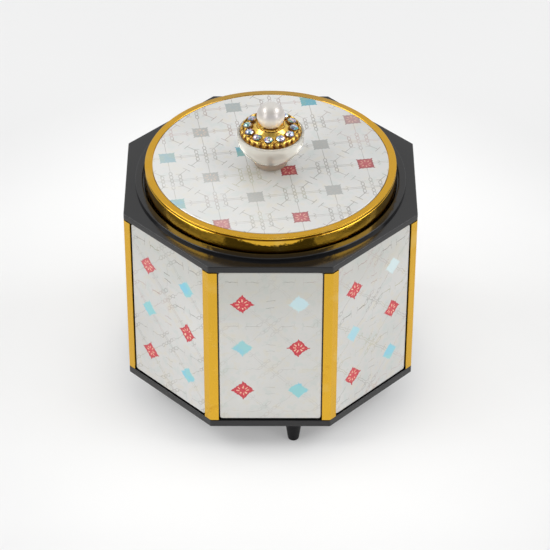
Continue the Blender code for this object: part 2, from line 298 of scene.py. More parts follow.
def true_up(piece, name):
    """Names the piece, and puts its place, turn and size into its mesh."""
    into_hand(piece)
    piece.name = name
    piece.data.name = name
    bpy.ops.object.transform_apply(location=True, rotation=True, scale=True)
    return piece


def octagon_block(name, half_across, low, high):
    """An eight-sided block with one flat side to the front."""
    all_off()
    bpy.ops.mesh.primitive_cylinder_add(
        vertices=8,
        radius=half_across / math.cos(FACE),
        depth=high - low,
        location=(0.0, 0.0, (low + high) / 2),
        rotation=(0.0, 0.0, FACE),
    )
    return true_up(bpy.context.object, name)


def drawn(points):
    """One point, extruded from place to place, in edit mode."""
    all_off()
    bpy.ops.mesh.primitive_plane_add(size=0.0001, location=points[0])
    piece = bpy.context.object
    bpy.ops.object.mode_set(mode="EDIT")
    bpy.ops.mesh.select_mode(type="VERT")
    bpy.ops.mesh.select_all(action="SELECT")
    bpy.ops.mesh.merge(type="CENTER")
    for here, there in zip(points, points[1:]):
        step = tuple(b - a for a, b in zip(here, there))
        bpy.ops.mesh.extrude_vertices_move(TRANSFORM_OT_translate={"value": step})
    bpy.ops.mesh.select_all(action="SELECT")
    return piece


def lathed(name, profile, steps):
    """A closed profile of (radius, height) points, from the axis and back to it, spun round Z."""
    closed = profile[0][0] > 0
    points = [(radius, 0.0, height) for radius, height in profile]
    piece = drawn(points + points[:1] if closed else points)
    bpy.ops.mesh.remove_doubles(threshold=0.000001)
    bpy.ops.mesh.spin(steps=steps, angle=2 * math.pi, center=(0, 0, 0), axis=(0, 0, 1))
    bpy.ops.mesh.select_all(action="SELECT")
    bpy.ops.mesh.remove_doubles(threshold=0.000001)
    bpy.ops.mesh.normals_make_consistent(inside=False)
    return true_up(piece, name)


def arc(middle, radius, start, end, steps):
    """Points of a rounded edge in a profile, by the angle in degrees."""
    points = []
    for step in range(steps + 1):
        turn = math.radians(start + (end - start) * step / steps)
        points.append((middle[0] + radius * math.cos(turn), middle[1] + radius * math.sin(turn)))
    return points


def rounded(piece, width, segments=3, angle=35):
    """Rounds every edge that is sharper than the angle."""
    into_hand(piece)
    bevel = piece.modifiers.new("rounding", "BEVEL")
    bevel.width = width
    bevel.segments = segments
    bevel.limit_method = "ANGLE"
    bevel.angle_limit = math.radians(angle)
    bpy.ops.object.modifier_apply(modifier=bevel.name)
    return piece


def worked(piece, tool, operation):
    """Joins the tool to the piece, or cuts it away, and puts the tool aside."""
    into_hand(piece)
    cut = piece.modifiers.new("cut", "BOOLEAN")
    cut.operation = operation
    cut.solver = "EXACT"
    cut.object = tool
    bpy.ops.object.modifier_apply(modifier=cut.name)
    bpy.data.objects.remove(tool)
    return piece


def copied(piece, name, turn, shift=(0.0, 0.0, 0.0)):
    """A copy with its own mesh, shifted and then turned round the upright axis of the box."""
    into_hand(piece)
    bpy.ops.object.duplicate()
    made = bpy.context.object
    made.matrix_world = Matrix.Rotation(turn, 4, "Z") @ Matrix.Translation(Vector(shift))
    return true_up(made, name)


def smoothed(piece, angle=32):
    """Shades the round edges smoothly and leaves the flat faces between them flat."""
    into_hand(piece)
    bpy.ops.object.shade_smooth_by_angle(angle=math.radians(angle))
    weights = piece.modifiers.new("flat_faces", "WEIGHTED_NORMAL")
    weights.keep_sharp = True
    bpy.ops.object.modifier_apply(modifier=weights.name)


def fitted(piece, finish, slot, *nodes):
    """Gives the piece its finish and puts it in the place of its CAD nodes."""
    piece.data.materials.clear()
    piece.data.materials.append(finish)
    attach(piece, "root")
    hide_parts(*nodes)


black_finish, place, shader = new_finish("black_plastic")
dust = place.cloud(900.0, 6.0).fade(0.56, 0.78)
handled = place.cloud(38.0, 4.0, shift=(0.3, 0.1, 0.0)).fade(0.42, 0.75)
scuffs = place.cloud(260.0, 3.0, stretch=(1.0, 6.0, 1.0)).fade(0.66, 0.74)
ripple = place.cloud(120.0, 1.0)
skin = place.node("ShaderNodeBump", {}, {"Strength": 0.05, "Distance": 0.0004, "Height": ripple})
wear(
    black_finish,
    shader,
    Base_Color=(0.5 * dust + 0.25 * handled).mix(BLACK, BLACK_DUSTY),
    Roughness=0.13 + 0.05 * handled + 0.12 * dust + 0.10 * scuffs,
    IOR=1.49,
    Normal=skin,
)

case = octagon_block("case", POST_OUT, FLOOR_OF_BOX, DECK_LOW + WALL_OVERLAP)
for k in range(8):
    all_off()
    bpy.ops.mesh.primitive_cube_add(size=1.0)
    bay = bpy.context.object
    bay.scale = (2 * BAY_HALF_WIDTH, BAY_CUT, CUTTER_TOP)
    bay.rotation_euler.z = 2 * FACE * k
    out = BAY_OUT + BAY_CUT / 2
    bay.location = (out * math.sin(2 * FACE * k), -out * math.cos(2 * FACE * k), 0.0)
    worked(case, true_up(bay, "bay"), "DIFFERENCE")
worked(case, octagon_block("hollow", WALL_IN, 0.0, CUTTER_TOP), "DIFFERENCE")

deck = rounded(octagon_block("deck", HALF_ACROSS, DECK_LOW, DECK_TOP), EDGE_ROUNDING)
worked(case, deck, "UNION")

ring = lathed(
    "ring",
    [(0.0, DECK_TOP - RING_ROOT), (RING_OUTER, DECK_TOP - RING_ROOT)]
    + arc((RING_OUTER - RING_ROUNDING, RING_TOP - RING_ROUNDING), RING_ROUNDING, 0, 90, 5)
    + [(0.0, RING_TOP)],
    ROUND_STEPS,
)
worked(case, ring, "UNION")

opening = lathed(
    "opening",
    [(0.0, CUTTER_TOP), (RING_INNER + RING_CHAMFER[0], CUTTER_TOP), (RING_INNER + RING_CHAMFER[0], RING_TOP)]
    + [(RING_INNER + 0.00022, RING_TOP - 0.0001), (RING_INNER, RING_TOP - RING_CHAMFER[1])]
    + [(RING_INNER, LEDGE), (MOUTH + MOUTH_EDGE, LEDGE), (MOUTH, LEDGE - MOUTH_EDGE)]
    + [(MOUTH, MOUTH_CUT_LOW), (0.0, MOUTH_CUT_LOW)],
    ROUND_STEPS,
)
worked(case, opening, "DIFFERENCE")
smoothed(case)
fitted(case, black_finish, "black_plastic", "case_shell")


# Base plate: a flat eight-sided black plate that closes the case from below, with a shallow sunk
# field on its hidden underside.
BASE_LOW = 0.0116
BASE_TOP = 0.0147
FIELD_INSET = 0.0105
FIELD_DEPTH = 0.0006

base = octagon_block("bottom", HALF_ACROSS, BASE_LOW, BASE_TOP)
into_hand(base)
bpy.ops.object.mode_set(mode="EDIT")
bpy.ops.mesh.select_mode(type="FACE")
bpy.ops.mesh.select_all(action="DESELECT")
bpy.ops.object.mode_set(mode="OBJECT")
for face in base.data.polygons:
    face.select = face.normal.z < -0.9
bpy.ops.object.mode_set(mode="EDIT")
bpy.ops.mesh.inset(thickness=FIELD_INSET)
bpy.ops.mesh.extrude_region_move(TRANSFORM_OT_translate={"value": (0.0, 0.0, FIELD_DEPTH)})
all_off()
rounded(base, EDGE_ROUNDING)
smoothed(base)
fitted(base, black_finish, "black_plastic", "base_plate")


# Feet: three short black plastic pegs, moulded to a taper with a rounded tip, and fixed up into the
# bottom plate near its edge, a third of a turn apart.
FOOT_TOP = 0.0113
FOOT_TOP_RADIUS = 0.0037
FOOT_TIP_RADIUS = 0.0023
FOOT_CIRCLE = 0.0521
FOOT_TURN = math.radians(10.3)
FOOT_EDGE = 0.0002
FOOT_TAPER = ((0.00362, 0.0104), (0.00302, 0.0064), (0.00262, 0.0034))
TIP_ROUNDING = 0.0010
FOOT_BLACK = (0.005, 0.005, 0.006, 1.0)
FOOT_DUSTY = (0.011, 0.011, 0.012, 1.0)

foot_finish, place, shader = new_finish("black_foot")
dust = place.cloud(700.0, 4.0).fade(0.5, 0.75)
wear(
    foot_finish,
    shader,
    Base_Color=dust.mix(FOOT_BLACK, FOOT_DUSTY),
    Roughness=0.38 + 0.2 * dust,
    Specular_IOR_Level=0.14,
)
peg = lathed(
    "peg",
    [(0.0, FOOT_TOP), (FOOT_TOP_RADIUS - FOOT_EDGE, FOOT_TOP), (FOOT_TOP_RADIUS, FOOT_TOP - FOOT_EDGE)]
    + [*FOOT_TAPER, (FOOT_TIP_RADIUS, TIP_ROUNDING)]
    + arc((FOOT_TIP_RADIUS - TIP_ROUNDING, TIP_ROUNDING), TIP_ROUNDING, -15, -90, 5)
    + [(0.0, 0.0)],
    64,
)
for number in (1, 2, 3):
    turn = FOOT_TURN + (number - 1) * 2 * math.pi / 3
    foot = copied(peg, "peg_%d" % number, turn, (0.0, -FOOT_CIRCLE, 0.0))
    smoothed(foot)
    fitted(foot, foot_finish, "black_plastic", "foot_%d" % number)
bpy.data.objects.remove(peg)


# Panels: eight plates of silvery foil under clear plastic, printed all over with a lattice of small
# squares, link crosses and thin twigs. They are cut on the bias, so that the squares stand on their
# points, and let into the bays of the case.
PANEL_HALF_WIDTH = 0.02006
PANEL_LOW = 0.0155
PANEL_HIGH = 0.08925
PANEL_FRONT = 0.0570
PANEL_THICKNESS = 0.0010
PANEL_CORNER = 0.0011
PANEL_EDGE = 0.00025
HALF = math.sqrt(0.5)
PITCH = 15.4
PANEL_SHIFT = 2 * PITCH / HALF
PANEL_MOTIF = (PITCH * HALF, 52.0)
PANEL_DRIFT = 2.2
# Red and its edge, blue, green and faded
PANEL_INKS = (
    (0.57, 0.028, 0.052, 1.0),
    (0.48, 0.022, 0.042, 1.0),
    (0.22, 0.55, 0.68, 1.0),
    (0.27, 0.58, 0.60, 1.0),
    (0.61, 0.72, 0.73, 1.0),
)
# Steps of freshness from square to square along, up and at the start, and where it is faded and fresh
PANEL_WEAR = (0.035, 0.437, 0.259, 0.05, 0.31)
PANEL_PAINTED_SHADE = (0.42, 0.42, 0.36, 1.0)
FOIL = (0.62, 0.615, 0.595, 1.0)
FOIL_PALE = (0.70, 0.695, 0.68, 1.0)
FOIL_WARM = (0.70, 0.62, 0.42, 1.0)
FOIL_COOL = (0.46, 0.58, 0.55, 1.0)
CREAM = (0.85, 0.60, 0.42, 1.0)
LINE = (0.17, 0.145, 0.115, 1.0)
LINE_OLIVE = (0.36, 0.34, 0.17, 1.0)
LINE_PINK = (0.42, 0.25, 0.23, 1.0)
# The print, in millimetres: half a square, its scallops and tips, its petals, and the chains of links
SQUARE = 3.05
SCALLOP = 0.09
SCALLOP_STEP = 1.5
TIP = 0.32
PETAL_RADIUS = 1.80
CHAIN_ASIDE = 3.5
LINK_STEP = 2.3
LINK_WIDE = 0.62
LINK_LONG = 1.12
HAIRLINE = (0.17, 0.06)


def printed(place, lattice, line_strength, cross_strength, inks, worn, flower, rubbed):
    """The printed foil: its colour, and a mask of all the ink. The lattice place is in millimetres.

    Where the print is rubbed, the upright lines are nearly gone and the blue squares are smaller.
    """
    red_ink, red_edge, blue_ink, green_ink, faded = inks
    across, up, _ = lattice.xyz()
    col = across / PITCH
    row = up / PITCH
    i = (col + 0.5).floor()
    j = (row + 0.5).floor()
    a = abs((col - i) * PITCH)
    b = abs((row - j) * PITCH)
    cross = (i + j) % 2.0
    red = i % 2.0
    more = a.larger(b)
    less = a.smaller(b)

    # The square: scalloped sides and a small tip at each corner
    wave = less * (2 * math.pi / SCALLOP_STEP)
    scallop = SCALLOP * wave.sum("COSINE", wave)
    tip = TIP * (less / (more + 0.001)) ** 12.0
    shrunk = (1 - red) * rubbed
    soft = 0.08 + 0.24 * shrunk
    size = (SQUARE + scallop + tip) - shrunk * (0.22 + 0.8 * tip)
    square = (more - size).fade(soft, 0.0 - soft) * (1 - cross)

    # The flower of eight petals in the square
    radius = (a * a + b * b) ** 0.5
    turn = a.sum("ARCTAN2", b, a) * (8 / (2 * math.pi)) + 0.5
    beside = abs(turn % 1.0 - 0.5) * radius * (2 * math.pi / 8)
    petals = abs(radius - PETAL_RADIUS).fade(0.66, 0.46) * beside.fade(0.29, 0.15) * square

    # The link cross: three chains of oval links over a double line
    chain = a.smaller(abs(a - CHAIN_ASIDE))
    along = abs(b / LINK_STEP - (b / LINK_STEP + 0.5).floor()) * LINK_STEP
    oval = abs(((chain / LINK_WIDE) ** 2.0 + (along / LINK_LONG) ** 2.0) ** 0.5 - 1) * LINK_WIDE
    reach = 2.5 * LINK_STEP - LINK_STEP * (a > CHAIN_ASIDE / 2)
    links = oval.fade(0.20, 0.08) * (b - reach).fade(0.06, -0.06) * (a < 4.4) * cross
    outside = (1 - cross) * (a > 3.1) + cross
    double = abs(b - 0.42).fade(*HAIRLINE) * outside
    upright = a.fade(*HAIRLINE) * (b > 3.1 + 2.65 * cross)

    # The curls beside the square
    curl = abs(((a - 5.0) ** 2.0 + (b - 0.8) ** 2.0) ** 0.5 - 0.75).fade(*HAIRLINE)
    curls = curl * (a > 5.0) * (1 - cross)

    # The twigs on the diagonals between two crosses, which end in bars that face each other
    ca = (col % 1.0 - 0.5) * PITCH
    cb = (row % 1.0 - 0.5) * PITCH
    lower = (col - col % 1.0 + row - row % 1.0) % 2.0
    rising = (ca + cb) * HALF
    falling = (ca - cb) * HALF
    out = abs(falling + lower * (rising - falling))
    aside = abs(rising + lower * (falling - rising))
    bar = abs(out - 1.6).fade(0.18, 0.07) * aside.fade(1.85, 1.7)
    stem = aside.fade(*HAIRLINE) * out.fade(1.5, 1.65) * out.fade(6.6, 6.4)
    fork = abs(aside - (out - 5.2)).fade(0.2, 0.07) * out.fade(5.1, 5.3) * out.fade(6.7, 6.5)
    bar = bar * (1 - 0.7 * rubbed * lower)
    stem = stem * (1 - 0.8 * rubbed * (1 - lower))
    twigs = bar.larger(stem).larger(fork * (1 - 0.75 * rubbed))

    # All the fine lines, which the wear breaks up
    fine = links.larger(double).larger(upright.larger(curls))
    breaks = place.cloud(210.0, 3.0).fade(0.32, 0.52)
    lines = (twigs * line_strength).larger(fine * cross_strength) * (0.5 + 0.5 * breaks)

    # The foil under the print, with warm and cool patches and flecks
    sheen = place.cloud(22.0, 3.0, shift=(0.7, 0.2, 0.4))
    foil = sheen.fade(0.3, 0.7).mix(FOIL, FOIL_PALE)
    film = place.cloud(55.0, 4.0, shift=(0.1, 0.9, 0.0))
    tinted = (film.fade(0.56, 0.72) * 0.20).mix(foil, FOIL_WARM)
    tinted = (film.fade(0.42, 0.30) * 0.14).mix(tinted, FOIL_COOL)
    fleck = place.cloud(260.0, 2.0, shift=(0.2, 0.8, 0.5))
    tinted = (fleck.fade(0.54, 0.66) * 0.20).mix(tinted, FOIL_WARM)
    tinted = (fleck.fade(0.46, 0.36) * 0.20).mix(tinted, FOIL_COOL)

    # The colours of the lines, and of the squares from fresh to faded
    line_hue = place.cloud(26.0, 2.0, shift=(0.0, 0.4, 0.8))
    line_colour = line_hue.fade(0.50, 0.62).mix(LINE, LINE_OLIVE)
    line_colour = line_hue.fade(0.46, 0.34).mix(line_colour, LINE_PINK)
    inked = lines.mix(tinted, line_colour)

    fresh = (i * worn[0] + j * worn[1] + worn[2]) % 1.0
    strength = fresh.fade(worn[3], worn[4])
    edge = more.fade(1.9, 3.0)
    blue = place.cloud(140.0, 2.0, shift=(0.5, 0.5, 0.1)).fade(0.42, 0.58).mix(blue_ink, green_ink)
    hue = red.mix(blue, edge.mix(red_ink, red_edge))
    hue = strength.mix(faded, hue)
    speckle = place.cloud(1500.0, 2.0).fade(0.50, 0.62)
    hue = (speckle * 0.12 * red).mix(hue, CREAM)
    hue = (petals * flower * (0.2 + 0.8 * red) * (1 - shrunk)).mix(hue, CREAM)
    colour = square.mix(inked, hue)
    return colour, lines.larger(square)


panel_finish, place, shader = new_finish("printed_panel", "UV")
turned = place.node("ShaderNodeMapping", {}, {0: place, "Rotation": (0.0, 0.0, math.radians(45))})
offset_x = (PANEL_MOTIF[0] - PANEL_MOTIF[1]) * HALF
offset_y = (PANEL_MOTIF[0] + PANEL_MOTIF[1]) * HALF
lattice = turned.vector("SUBTRACT", (offset_x - PITCH, offset_y - PITCH, 0.0))
metres = place.vector("SCALE", 0.001)
wander = metres.cloud(330.0, 3.0, shift=(0.4, 0.7, 0.2)).other("Color")
drift = wander.vector("SUBTRACT", (0.5, 0.5, 0.5)).vector("SCALE", PANEL_DRIFT)
lattice = lattice.vector("ADD", drift)
round_box, up_panel, _ = metres.xyz()

# The front panel has been rubbed the most, and all of them more below than above
less_rubbed = 1 + 1.2 * abs(round_box).fade(0.0205, 0.0225)
twigs = (0.26 + 0.48 * up_panel.fade(0.045, 0.080)) * less_rubbed
colour, ink = printed(metres, lattice, twigs, 0.19 * less_rubbed, PANEL_INKS, PANEL_WEAR, 0.9, 1.0)
# Painted shade: the foil darkens near the top, under the overhang of the deck, and a little all over the
# front panel.
panel_painted_shade = (0.30 * up_panel.fade(0.060, 0.088) + 0.16 * abs(round_box).fade(0.0215, 0.0205)) * (1 - ink)
smear = metres.cloud(60.0, 3.0)
wear(
    panel_finish,
    shader,
    Base_Color=panel_painted_shade.mix(colour, PANEL_PAINTED_SHADE),
    Metallic=0.7 - 0.5 * ink,
    Roughness=0.30 + 0.12 * smear.fade(0.35, 0.7) + 0.1 * ink,
    Coat_Weight=0.3,
    Coat_Roughness=0.15,
)

all_off()
bpy.ops.mesh.primitive_cube_add(size=1.0)
plate = bpy.context.object
plate.scale = (2 * PANEL_HALF_WIDTH, PANEL_THICKNESS, PANEL_HIGH - PANEL_LOW)
plate.location = (0.0, PANEL_THICKNESS / 2 - PANEL_FRONT, (PANEL_LOW + PANEL_HIGH) / 2)
true_up(plate, "plate")
bpy.ops.object.mode_set(mode="EDIT")
bpy.ops.mesh.select_mode(type="EDGE")
bpy.ops.mesh.select_all(action="DESELECT")
bpy.ops.object.mode_set(mode="OBJECT")
for edge in plate.data.edges:
    ends = [plate.data.vertices[v].co for v in edge.vertices]
    edge.select = abs(ends[0].y - ends[1].y) > PANEL_THICKNESS / 2
bpy.ops.object.mode_set(mode="EDIT")
bpy.ops.mesh.bevel(offset=PANEL_CORNER, segments=6, affect="EDGES")
all_off()
rounded(plate, PANEL_EDGE, 3, 60)
for k in range(8):
    panel = copied(plate, "foil_panel_%d" % (k + 1), 2 * FACE * k)
    into_hand(panel)
    sheet = panel.data.uv_layers[0]
    for loop in panel.data.loops:
        spot = plate.data.vertices[loop.vertex_index].co
        sheet.data[loop.index].uv = (spot.x * 1000 + PANEL_SHIFT * k, spot.z * 1000)
    smoothed(panel)
    fitted(panel, panel_finish, "printed_panel", "panel_%d" % (k + 1))
bpy.data.objects.remove(plate)


# Corner strips: gold anodised aluminium, folded along its middle and slipped over each corner post,
# where it covers the edges of the two bays.
STRIP_WING = 0.0033
STRIP_THICKNESS = 0.0005
STRIP_LOW = 0.0150
STRIP_HIGH = 0.08925
STRIP_BEND = 0.0011
STRIP_EDGE = 0.00009
# The lid has the same gold: the heights of its flat rim and groove, and how far back its rim has painted
# shade
RIM_FADE = (0.10015, 0.1003)
GROOVE_HEIGHT = 0.0991
RIM_BACK = (0.028, 0.047)
GOLD = (0.73, 0.42, 0.040, 1.0)
GOLD_PALE = (0.78, 0.52, 0.13, 1.0)
GOLD_STAIN_AND_RIM_SHADE = (0.62, 0.32, 0.028, 1.0)
GOLD_RIM_PAINTED_SHADE = (0.42, 0.27, 0.09, 1.0)
GOLD_GROOVE_SHADE = (0.10, 0.05, 0.01, 1.0)


def bend(out):
    """The line of the strip from above, at one distance from the middle of the box."""
    corner = Vector((out * math.tan(FACE), -out, 0.0))
    reach = HALF_ACROSS * math.tan(FACE) - STRIP_WING
    turn = Vector((math.cos(2 * FACE), math.sin(2 * FACE), 0.0))
    back = STRIP_BEND * math.tan(FACE)
    points = [Vector((reach, -out, 0.0))]
    middle = corner + Vector((-back, STRIP_BEND, 0.0))
    for step in range(6):
        angle = math.radians(-90 + 45 * step / 5)
        points.append(middle + STRIP_BEND * Vector((math.cos(angle), math.sin(angle), 0.0)))
    points.append(corner + turn * (out * math.tan(FACE) - reach))
    return points


def gold_anodised(name, across, side_polish, top_polish, dent_depth):
    """Anodised aluminium: drawn or turned lines, shallow dents, paler rubbed spots and darker stains, with
    painted shade on the flat rim, most at its back, and in the groove under it.
    """
    made, place, shader = new_finish(name)
    _, back, height = place.xyz()
    on_top = height.fade(*RIM_FADE)
    lines = place.cloud(700.0, 2.0, stretch=across)
    rubbed = place.cloud(70.0, 5.0, shift=(0.2, 0.5, 0.9)).fade(0.56, 0.74)
    stain = place.cloud(150.0, 5.0, shift=(0.6, 0.1, 0.3)).fade(0.62, 0.80)
    colour = (0.75 * rubbed).mix(GOLD, GOLD_PALE)
    # Stains, and painted shade on the flat rim, darken the gold; the rim has more painted shade towards its
    # back.
    rim_back_painted_shade = on_top * back.fade(*RIM_BACK)
    colour = (0.8 * stain + 0.45 * on_top).mix(colour, GOLD_STAIN_AND_RIM_SHADE)
    colour = (0.6 * rim_back_painted_shade).mix(colour, GOLD_RIM_PAINTED_SHADE)
    # Painted shade in the groove under the rim.
    colour = (0.85 * abs(height - GROOVE_HEIGHT).fade(0.0003, 0.0001)).mix(colour, GOLD_GROOVE_SHADE)
    grain = place.node("ShaderNodeBump", {}, {"Strength": 0.06, "Distance": 0.0002, "Height": lines})
    dents = place.cloud(330.0, 4.0, stretch=(1.0, 1.0, 0.6), shift=(0.4, 0.3, 0.6)) * (2 * dent_depth)
    sway = place.cloud(40.0, 1.0, shift=(0.1, 0.6, 0.2)) * (9 * dent_depth)
    dented = {"Strength": 1.0, "Distance": 1.0, "Height": (dents + sway) * (1 - on_top), "Normal": grain}
    rough = side_polish + (top_polish - side_polish) * on_top + 0.05 * lines + 0.10 * rubbed + 0.12 * stain
    wear(
        made,
        shader,
        Base_Color=colour,
        Metallic=1.0,
        Roughness=rough,
        Normal=place.node("ShaderNodeBump", {}, dented),
    )
    return made


strip_finish = gold_anodised("gold_strip", (1.0, 1.0, 0.05), 0.24, 0.24, 0.00002)
outline = bend(HALF_ACROSS) + bend(HALF_ACROSS - STRIP_THICKNESS)[::-1]
first = drawn([(p.x, p.y, STRIP_LOW) for p in outline])
bpy.ops.mesh.edge_face_add()
bpy.ops.mesh.extrude_region_move(TRANSFORM_OT_translate={"value": (0.0, 0.0, STRIP_HIGH - STRIP_LOW)})
bpy.ops.mesh.select_all(action="SELECT")
bpy.ops.mesh.normals_make_consistent(inside=False)
first = true_up(first, "strip")
rounded(first, STRIP_EDGE, 2, 40)
for k in range(8):
    strip = copied(first, "gold_strip_%d" % (k + 1), 2 * FACE * k)
    smoothed(strip, 30)
    fitted(strip, strip_finish, "gold_strip", "corner_strip_%d" % (k + 1))
bpy.data.objects.remove(first)


# Lid: a shallow cap spun from gold anodised sheet, with a flat rolled rim round the printed disc, a
# groove under the rim and a side band that is no longer quite true.
LID_BOTTOM = 0.0921
LID_TOP = 0.1004
LID_RADIUS = 0.0503
RIM_RADIUS = 0.0498
RIM_INNER = 0.0470
RECESS_FLOOR = 0.0994
UNDERSIDE = 0.0980
BAND_TOP = (0.04974, 0.09875)
BAND_HEIGHT = 0.0061
BAND_LEAN = 0.00034
BAND_RINGS = (0.0, 0.02, 0.25, 0.5, 0.75, 0.98, 1.0)
RIM_ROUNDING = 0.0004
RIM_LOW = 0.0997
RIM_EDGE = 0.00012
GROOVE = ((0.04945, 0.0993), (0.0494, 0.09915), (0.0494, 0.0990), (0.04962, 0.0989))
HEM_ROUNDING = 0.0003
HEM = 0.0012
HOLLOW_RADIUS = 0.0483
HOLLOW_CHAMFER = 0.0006

lid_finish = gold_anodised("gold_lid", (1.0, 1.0, 2.0), 0.03, 0.17, 0.00006)
lid = lathed(
    "lid",
    [(0.0, RECESS_FLOOR), (RIM_INNER, RECESS_FLOOR), (RIM_INNER, LID_TOP - RIM_EDGE)]
    + [(RIM_INNER + RIM_EDGE, LID_TOP)]
    + arc((RIM_RADIUS - RIM_ROUNDING, LID_TOP - RIM_ROUNDING), RIM_ROUNDING, 90, 0, 5)
    + arc((RIM_RADIUS - 0.0003, RIM_LOW), 0.0003, 0, -70, 4)
    + list(GROOVE)
    + [(BAND_TOP[0] + share * BAND_LEAN, BAND_TOP[1] - share * BAND_HEIGHT) for share in BAND_RINGS]
    + [(LID_RADIUS - 0.0001, LID_BOTTOM + HEM_ROUNDING), (LID_RADIUS - 0.0002, LID_BOTTOM + 0.0001)]
    + [(LID_RADIUS - HEM_ROUNDING, LID_BOTTOM), (LID_RADIUS - 0.0010, LID_BOTTOM)]
    + [(LID_RADIUS - HEM, LID_BOTTOM + 0.0002), (HOLLOW_RADIUS, UNDERSIDE - HOLLOW_CHAMFER)]
    + [(HOLLOW_RADIUS - HOLLOW_CHAMFER, UNDERSIDE), (0.0, UNDERSIDE)],
    240,
)
smoothed(lid)
fitted(lid, lid_finish, "gold_lid", "lid_cap")


# Lid disc: a round of the same printed foil under clear plastic, pressed into the recess of the lid
# with its pattern turned a little to the front panel.
DISC_RADIUS = 0.0467
DISC_LOW = 0.0997
DISC_TURN = math.radians(8.773)
DISC_MOTIF = (-5.84, -23.51)
DISC_EDGE = (0.00015, 0.00012)
DISC_WEAR = (0.627, 0.848, 0.197, 0.56, 0.69)
DISC_PAINTED_LIGHT = (0.90, 0.90, 0.88, 1.0)
DISC_PAINTED_SHADE = (0.40, 0.40, 0.39, 1.0)
DISC_INKS = (
    (0.42, 0.016, 0.036, 1.0),
    (0.28, 0.012, 0.026, 1.0),
    (0.13, 0.38, 0.46, 1.0),
    (0.20, 0.40, 0.38, 1.0),
    (0.40, 0.405, 0.39, 1.0),
)

disc_finish, place, shader = new_finish("printed_disc")
lattice = place.node(
    "ShaderNodeMapping",
    {"vector_type": "TEXTURE"},
    {
        0: place,
        "Location": (DISC_MOTIF[0] / 1000, DISC_MOTIF[1] / 1000, 0.0),
        "Rotation": (0.0, 0.0, DISC_TURN),
        "Scale": (0.001, 0.001, 0.001),
    },
)
colour, ink = printed(place, lattice, 0.8, 0.6, DISC_INKS, DISC_WEAR, 0.5, 0.0)

# The disc is paler at the front left, a painted light, and greyer at the right, a painted shade.
across, back, _ = place.xyz()
painted_light_front_left = (0.0 - across - back).fade(-0.01, 0.06)
painted_shade_right = across.fade(0.0, 0.045)
colour = (0.28 * painted_light_front_left).mix(colour, DISC_PAINTED_LIGHT)
colour = (0.20 * painted_shade_right).mix(colour, DISC_PAINTED_SHADE)
smear = place.cloud(45.0, 3.0)
wear(
    disc_finish,
    shader,
    Base_Color=colour,
    Metallic=0.35,
    Roughness=0.34 + 0.12 * smear.fade(0.35, 0.7) + 0.1 * ink,
    Coat_Weight=0.3,
    Coat_Roughness=0.15,
)
disc = lathed(
    "foil_disc",
    [(0.0, LID_TOP), (DISC_RADIUS - DISC_EDGE[0], LID_TOP), (DISC_RADIUS, LID_TOP - DISC_EDGE[1])]
    + [(DISC_RADIUS, DISC_LOW), (0.0, DISC_LOW)],
    ROUND_STEPS,
)
smoothed(disc)
fitted(disc, disc_finish, "printed_disc", "lid_plate")


# Knob: a goblet of clear acrylic, turned and polished, that stands on the disc. The collar and the thread of
# a brass screw, which holds it from below, show brown through its neck. The acrylic there is painted brown
# too, a painted refraction of the screw.
KNOB_LOW = 0.10045
KNOB_TOP = 0.1150
NECK = 0.0067
NECK_TOP = 0.1033
BOWL_TOP = 0.1126
KNOB_RIM = 0.0132
SOCKET = 0.0123
SOCKET_FLOOR = 0.1140
KNOB_ROUNDING = 0.0003
KNOB_EDGE = 0.0001
BOWL_STEPS = 16
ACRYLIC = (0.90, 0.88, 0.81, 1.0)
ACRYLIC_PAINTED_SCREW_BROWN = (0.78, 0.64, 0.50, 1.0)
SCREW_LOW = 0.10105
SCREW_RADIUS = 0.0060
SCREW_HEAD = ((0.0060, 0.1012), (0.0060, 0.1021), (0.0052, 0.1027), (0.0010, 0.1029))
THREAD_LOW = 0.1031
THREAD_STEP = 0.0005
THREAD_RADII = (0.0007, 0.0010)
THREADS = 4
SCREW_TOP = 0.1055
BRASS = (0.42, 0.27, 0.17, 1.0)
BRASS_TARNISHED = (0.22, 0.13, 0.08, 1.0)

knob_finish, place, shader = new_finish("clear_acrylic")
polish_lines = place.cloud(500.0, 2.0, stretch=(1.0, 1.0, 4.0))
# Painted refraction: the acrylic turns brown toward its foot, where the screw shows through.
painted_toward_foot = place.xyz()[2].fade(0.1042, 0.1024)
wear(
    knob_finish,
    shader,
    Base_Color=painted_toward_foot.mix(ACRYLIC, ACRYLIC_PAINTED_SCREW_BROWN),
    Roughness=0.03 + 0.06 * polish_lines.fade(0.5, 0.8),
    Transmission_Weight=0.66,
    IOR=1.25,
)
profile = [(0.0, SOCKET_FLOOR), (SOCKET, SOCKET_FLOOR), (SOCKET, KNOB_TOP - KNOB_EDGE)]
profile += [(SOCKET + KNOB_EDGE, KNOB_TOP)]
profile += arc((KNOB_RIM - KNOB_ROUNDING, KNOB_TOP - KNOB_ROUNDING), KNOB_ROUNDING, 90, 0, 4)
for step in range(BOWL_STEPS, -1, -1):
    share = step / BOWL_STEPS
    swell = math.sin(share * math.pi / 2) ** 0.7
    profile.append((NECK + (KNOB_RIM - NECK) * swell, NECK_TOP + (BOWL_TOP - NECK_TOP) * share))
profile += [(NECK, KNOB_LOW + KNOB_ROUNDING), (NECK - KNOB_EDGE, KNOB_LOW + KNOB_EDGE)]
profile += [(NECK - KNOB_ROUNDING, KNOB_LOW), (0.0, KNOB_LOW)]
knob = lathed("knob", profile, 120)
smoothed(knob, 40)
fitted(knob, knob_finish, "clear_acrylic", "knob_stem")

